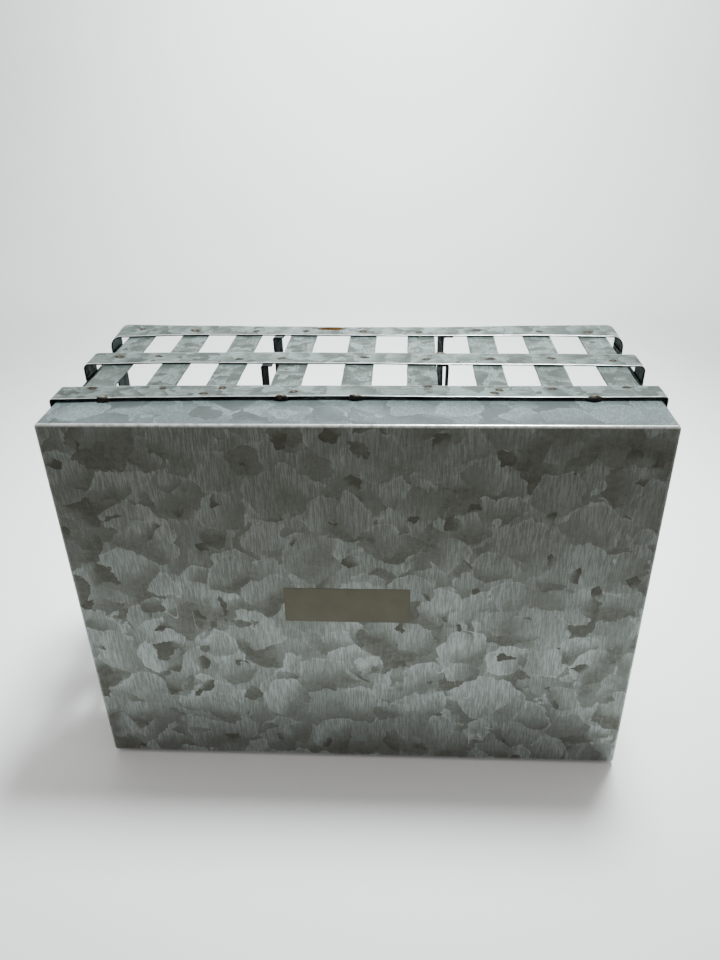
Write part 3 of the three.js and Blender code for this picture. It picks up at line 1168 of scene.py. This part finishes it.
def other_spot_welds(hoops, material):
    """Spot welds of the back and the two ends, one where each slat meets each hoop."""
    sides = (
        ("back", BACK, SIDE_SLATS),
        ("left", -RIGHT, END_SLATS),
        ("right", RIGHT, END_SLATS),
    )
    for side, outward, count in sides:
        bm, layers = new_mesh("ring", "core")
        picker = random.Random(side + "_spots")
        level = UP.cross(outward)
        for hoop in hoops:
            for number in range(1, count + 1):
                x, y, _ = middle_of(f"{side}_slat_{number}")
                frontness = 0.5 - y / (2 * hoop.half_y)
                rise = hoop.bent("near_rise", x) * frontness
                if outward.x:
                    x = outward.x * (hoop.half_x + HOOP_THICKNESS / 2 + WELD_ON_END_WAVE)
                else:
                    y = outward.y * (hoop.half_y + HOOP_THICKNESS / 2)
                height = hoop.bottom + STRAP_WIDTH / 2 + rise + picker.uniform(-3, 3) * MM
                centre = Vector((x, y, height)) + level * picker.uniform(-4, 4) * MM
                place = centre / MM + piece_offset(hoop.node)
                size = picker.uniform(1.4, 2.0) * MM
                add_spot(bm, layers, centre, outward, UP, place, picker, size)
        piece_from(f"spot_welds_{side}", bm, material)


def add_lump(bm, layers, centre, size, seed):
    """A lump of weld metal, made uneven by noise. size is its half length, height, depth."""
    sheet, ring_layer = layers
    length, height, depth = size
    lump = bmesh.ops.create_icosphere(bm, subdivisions=3, radius=1.0)
    for vert in lump["verts"]:
        unit = vert.co.copy()
        uneven = 1 + 0.45 * noise.noise(unit * 1.6 + Vector((seed, 0, 0)))
        uneven += 0.25 * noise.noise(unit * 4.0 + Vector((0, seed, 0)))
        local = unit * uneven
        vert.co = centre + Vector((length * local.x, -depth * local.z, height * local.y))
        vert[sheet] = vert.co / MM + Vector((seed, 0, 0)) * 10
        vert[ring_layer] = min(1.0, math.hypot(unit.x, unit.y))


def tack_welds(hoops, material):
    """Tacks of the lower hoop to the pan, and the weld of the right cross straps."""
    lower, middle, _ = hoops
    bm, layers = new_mesh("ring")
    wall = -PAN_WIDTH / 2
    for number, x in enumerate(TACK_WELDS_X):
        near, _ = lower.edges(x * MM, -lower.half_y, -BACK, 0.0)
        centre = Vector((x * MM, (near.y + wall) / 2 - TACK_PROUD, near.z))
        depth = (wall - near.y) / 2 + TACK_GRIP
        add_lump(bm, layers, centre, (TACK_LENGTH, TACK_HEIGHT, depth), 3.1 + 2.7 * number)
    _, far = middle.edges(STRAP_WELD_X * MM, -middle.half_y, -BACK, 0.0)
    add_lump(bm, layers, far, STRAP_WELD, 21.4)
    piece_from("tack_welds", bm, material)


# ---------------- label


def label(material):
    """Blank label stuck to the underside of the pan; it follows the sheet."""
    bm, (sheet, edge) = new_mesh("edge")
    centre_y = MIDDLE - LABEL_Z
    cells_x, cells_y = 30, 10
    corner = 0.6 * MM

    def point(u, v, height, edge_amount):
        x = u * LABEL_LENGTH / 2
        y = v * LABEL_HEIGHT / 2
        over_x = max(0.0, abs(x) - (LABEL_LENGTH / 2 - corner))
        over_y = max(0.0, abs(y) - (LABEL_HEIGHT / 2 - corner))
        reach = max(over_x, over_y)
        if over_x and over_y:
            squeeze = reach / math.hypot(over_x, over_y)
            x -= math.copysign(over_x * (1 - squeeze), x)
            y -= math.copysign(over_y * (1 - squeeze), y)
        place = Vector((LABEL_X + x, centre_y + y, 0))
        place.z = -sheet_sag(place.x, place.y) - height
        vert = bm.verts.new(place)
        vert[sheet] = place / MM
        vert[edge] = edge_amount
        return vert

    def spread(count):
        """Even steps from -1 to 1, with one more just inside each end."""
        inner = [-1 + 2 * k / count for k in range(count + 1)]
        return [-1, -0.985] + inner[1:-1] + [0.985, 1]

    us, vs = spread(cells_x), spread(cells_y)
    skins = []
    for height in (LABEL_FILM, 0.0):
        rows = []
        for v in vs:
            row = []
            for u in us:
                rim = abs(u) == 1 or abs(v) == 1
                lift = 0.55 * height if rim else height
                row.append(point(u, v, lift, 1.0 if rim else 0.0))
            rows.append(row)
        skins.append(rows)
    for rows in skins:
        fill_grid(bm, rows)
    border = [(0, c) for c in range(len(us))]
    border += [(r, len(us) - 1) for r in range(1, len(vs))]
    border += [(len(vs) - 1, c) for c in range(len(us) - 2, -1, -1)]
    border += [(r, 0) for r in range(len(vs) - 2, 0, -1)]
    bridge(bm, [[rows[r][c] for r, c in border] for rows in skins])
    piece_from("label", bm, material)


# ---------------- stage


FLOOR_GAP = 0.2 * MM              # between the floor and the lowest point of the CAD
BACKDROP_BEND_START = 1.0         # y where the floor starts to curve up
BACKDROP_BEND_RADIUS = 0.9
BACKDROP_TOP = 0.95               # height up to which the wall is mirrored in the steel
BACKDROP_REACH = 40.0             # half width of floor and wall, and how far the floor runs
UPPER_WALL_TOP = 12.0
CARD_START = -0.26                # y of the two ends of the dark card
CARD_END = -1.3
CARD_HALF_WIDTH = 1.2
CARD_HEIGHT = 0.004
LAMP_COLOUR = (0.91, 1.0, 0.985)
ROOM_COLOUR = (1.0, 0.97, 0.93, 1)
ROOM_LIGHT = 0.62


def staged_strip(name, profile, half_width, material):
    """Sheet along x, through the points (y, z) of its profile."""
    points = []
    for y, z in profile:
        points += [(-half_width, y, z), (half_width, y, z)]
    faces = [(2 * k, 2 * k + 1, 2 * k + 3, 2 * k + 2) for k in range(len(profile) - 1)]
    mesh = bpy.data.meshes.new(name)
    mesh.from_pydata(points, [], faces)
    for face in mesh.polygons:
        face.use_smooth = True
    mesh.materials.append(material)
    strip = bpy.data.objects.new(name, mesh)
    bpy.context.scene.collection.objects.link(strip)
    return strip


def make_stage():
    """Floor that curves up into a wall behind the crate, and a dark card in front of it.
    The card is seen only as a mirror image in the steel. The upper part of the wall is
    seen only by the camera, so that it doesn't brighten the top of the crate."""
    low = CAD_BOX[0].z - FLOOR_GAP
    bend_steps = 16
    profile = [(-BACKDROP_REACH, low), (BACKDROP_BEND_START, low)]
    for k in range(1, bend_steps + 1):
        angle = math.pi / 2 * k / bend_steps
        out = BACKDROP_BEND_RADIUS * math.sin(angle)
        rise = BACKDROP_BEND_RADIUS * (1 - math.cos(angle))
        profile.append((BACKDROP_BEND_START + out, low + rise))
    wall = BACKDROP_BEND_START + BACKDROP_BEND_RADIUS
    profile.append((wall, BACKDROP_TOP))
    pale = floor_paint()
    staged_strip("floor", profile, BACKDROP_REACH, pale)
    upper = [(wall, BACKDROP_TOP), (wall, UPPER_WALL_TOP)]
    upper_wall = staged_strip("upper_wall", upper, BACKDROP_REACH, pale)
    card_line = [(CARD_START, CARD_HEIGHT), (CARD_END, CARD_HEIGHT)]
    card = staged_strip("dark_card", card_line, CARD_HALF_WIDTH, card_paint())
    card.visible_camera = False
    upper_wall.visible_glossy = False
    for sheet in (card, upper_wall):
        sheet.visible_diffuse = False
        sheet.visible_shadow = False


def area_light(name, place, target, size, power, spread_deg=180, mirrored=True):
    """Round lamp aimed at the target. mirrored says whether its image shows in the steel."""
    light = bpy.data.lights.new(name, "AREA")
    light.shape = "DISK"
    light.size = size
    light.energy = power
    light.spread = math.radians(spread_deg)
    light.color = LAMP_COLOUR
    lamp = bpy.data.objects.new(name, light)
    lamp.location = place
    aim = Vector(target) - Vector(place)
    lamp.rotation_mode = "QUATERNION"
    lamp.rotation_quaternion = aim.to_track_quat("-Z", "Y")
    lamp.visible_camera = False
    lamp.visible_glossy = mirrored
    bpy.context.scene.collection.objects.link(lamp)


def make_light():
    world = bpy.data.worlds.new("pale_room")
    world.use_nodes = True
    sky = world.node_tree.nodes["Background"]
    sky.inputs["Color"].default_value = ROOM_COLOUR
    sky.inputs["Strength"].default_value = ROOM_LIGHT
    bpy.context.scene.world = world
    area_light("overhead", (0.2, 0.20, 1.3), (0, 0.23, 0), size=0.30, power=7.8, spread_deg=59)
    area_light(
        "soft_back", (0, 0.4, 1.9), (0, 0.2, 0),
        size=1.2, power=2.5, spread_deg=80, mirrored=False,
    )
    area_light(
        "backdrop_light", (0, 1.25, 1.2), (0, 1.85, 0.50),
        size=1.2, power=42, mirrored=False,
    )


# ---------------- assembly

make_camera()
sheet_steel = pan_steel()
hoop_steel = strap_steel("hoop_steel", STRAP_TONES, 15.0, EDGE_HIGHLIGHT, 0.62)
slat_steel = strap_steel("slat_steel", STRAP_TONES, 14.0, SLAT_EDGE_SHADE, 0.62)
# The dividers carry painted shade: dark tones, dark edges and no metal.
divider_steel = strap_steel("divider_steel", DIVIDER_SHADE_TONES, 14.0, DIVIDER_EDGE_SHADE, 0.0)
spot_steel = spot_weld_steel()
tack_steel = tack_weld_steel()

base_pan(sheet_steel)
all_hoops = [Hoop(node) for node in HOOPS]
for one in all_hoops:
    one.build(hoop_steel, FRONT_WELDS[one.node])
all_slats(slat_steel)
all_dividers(divider_steel)
front_spot_welds(all_hoops, spot_steel)
other_spot_welds(all_hoops, spot_steel)
tack_welds(all_hoops, tack_steel)
label(label_paper())
make_stage()
make_light()
